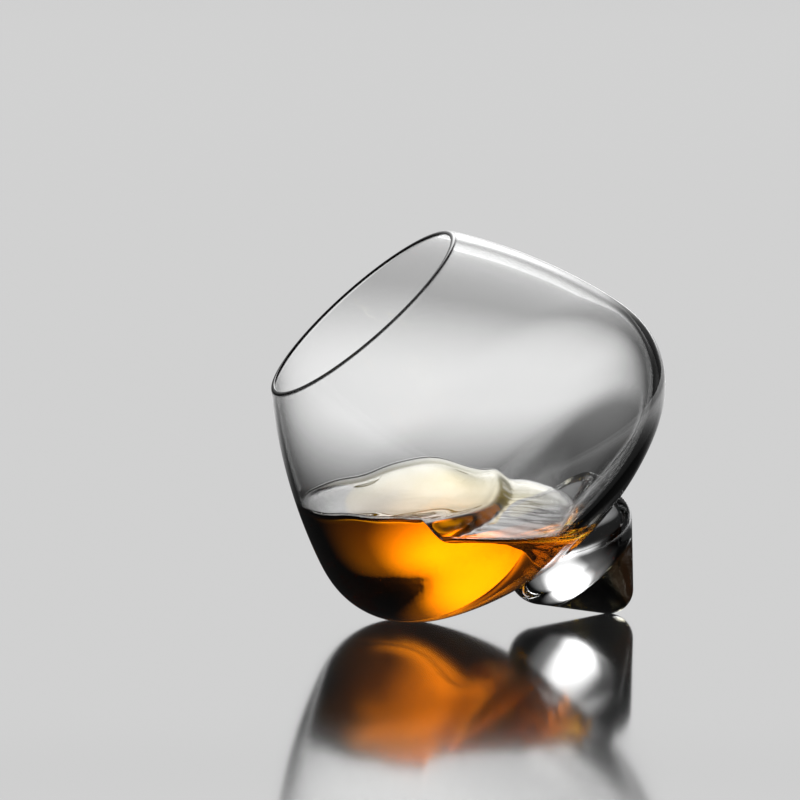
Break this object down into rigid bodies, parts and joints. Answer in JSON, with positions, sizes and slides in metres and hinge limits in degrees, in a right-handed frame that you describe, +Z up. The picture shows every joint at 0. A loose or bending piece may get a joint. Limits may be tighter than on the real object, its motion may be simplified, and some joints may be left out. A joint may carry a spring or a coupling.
{
  "type": "tilting spirit glass",
  "caption": "Tilting spirit glass: a turnip-shaped blown bowl on a solid cone foot, lying on its belly and the cone's tip, with an amber drink that swirls inside.",
  "frame": {"origin": "on the table, under the middle of the glass's box as it lies at rest", "axes": "+Z up from the table; the glass's axis lies in the XZ plane, with its mouth up towards -X and its foot down towards +X"},
  "size_m": [0.087, 0.09, 0.0862],
  "materials": {
    "bowl_glass": "clear, fire-polished",
    "foot_glass": "clear, solid, polished",
    "amber_spirit": "clear amber liquid"
  },
  "bodies": {
    "glass": {"bowl": "bowl_glass", "foot": "foot_glass"},
    "drink": {"drink": "amber_spirit"}
  },
  "joints": [
    {"name": "drink_swirl", "type": "hinge", "parent": "glass", "child": "drink", "pos_m": [-0.02382, 0, 0.06869], "axis": [-0.6664, 0, 0.7456], "range_deg": [-35, 35]}
  ]
}
